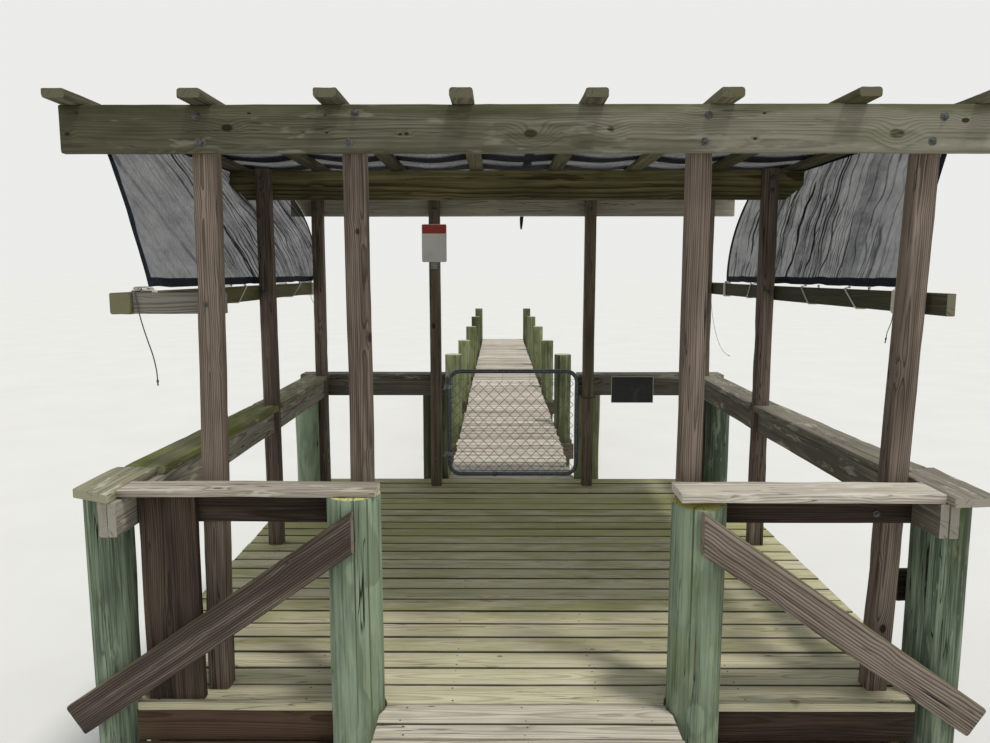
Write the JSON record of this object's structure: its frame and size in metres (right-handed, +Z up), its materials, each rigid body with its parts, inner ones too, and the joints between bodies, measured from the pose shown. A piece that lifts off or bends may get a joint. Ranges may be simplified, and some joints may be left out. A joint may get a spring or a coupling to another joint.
{
  "type": "wooden jetty",
  "caption": "Wooden jetty with a shaded landing platform, hand rails, a tube and mesh gate, and a piled walkway that runs out over the water in bays.",
  "frame": {"origin": "middle of the whole footprint, at the level of the piles' feet", "axes": "+Y along the walkway, out over the water; +Z up; +X to the right seen from the land"},
  "size_m": [3.865, 19.181, 3.7293],
  "materials": {
    "platform_deck": "weathered treated pine, algae stained",
    "walkway_deck": "sun bleached treated pine",
    "frame_timber": "rough sawn treated pine in shade",
    "post_timber": "brown weathered pine",
    "beam_timber": "weathered pine with algae",
    "rail_timber": "weathered pine",
    "pile_timber": "round treated pile with green cast",
    "shade_cloth": "knitted black shade cloth",
    "white_plate": "painted",
    "dark_plate": "printed",
    "galvanised": "dull galvanised",
    "cord": "white braided cord"
  },
  "bodies": {
    "structure": {"approach_boards": "walkway_deck", "approach_stringers": "frame_timber", "approach_feet": "pile_timber", "platform_boards": "platform_deck", "platform_joists": "frame_timber", "platform_rims": "frame_timber", "platform_girders": "frame_timber", "platform_feet": "pile_timber", "walkway_boards_1": "walkway_deck", "walkway_boards_2": "walkway_deck", "walkway_boards_3": "walkway_deck", "walkway_boards_4": "walkway_deck", "walkway_boards_5": "walkway_deck", "walkway_stringers": "frame_timber", "walkway_caps": "frame_timber", "walkway_piles": "pile_timber", "entrance_piles": "pile_timber", "outer_piles": "pile_timber", "corner_piles": "pile_timber", "rear_piles": "pile_timber", "pile_block": "frame_timber", "front_posts": "post_timber", "middle_posts": "post_timber", "rear_posts": "post_timber", "gate_posts": "post_timber", "front_beam": "beam_timber", "middle_beam": "beam_timber", "rear_beam": "beam_timber", "rafters": "beam_timber", "left_bar": "beam_timber", "left_arm": "beam_timber", "right_bar": "beam_timber", "roof_cloth": "shade_cloth", "left_curtain": "shade_cloth", "right_curtain": "shade_cloth", "front_caps": "rail_timber", "left_cap": "rail_timber", "right_cap": "rail_timber", "rear_caps": "rail_timber", "front_rail_boards": "frame_timber", "side_rail_boards": "rail_timber", "rear_rail_boards": "frame_timber", "braces": "frame_timber", "upright_board": "frame_timber", "lashings": "cord", "cord_near_left": "cord", "cord_far_left": "cord", "cord_near_right": "cord", "cord_far_right": "cord", "white_plate": "white_plate", "dark_plate": "dark_plate", "hinge_pins": "galvanised"},
    "gate": {"gate_frame": "galvanised", "gate_mesh": "galvanised", "gate_eyes": "galvanised"}
  },
  "joints": [
    {"name": "gate_swing", "type": "hinge", "parent": "structure", "child": "gate", "pos_m": [-0.566, -5.095, 1.75], "axis": [0, 0, 1], "range_deg": [-90, 45]}
  ]
}
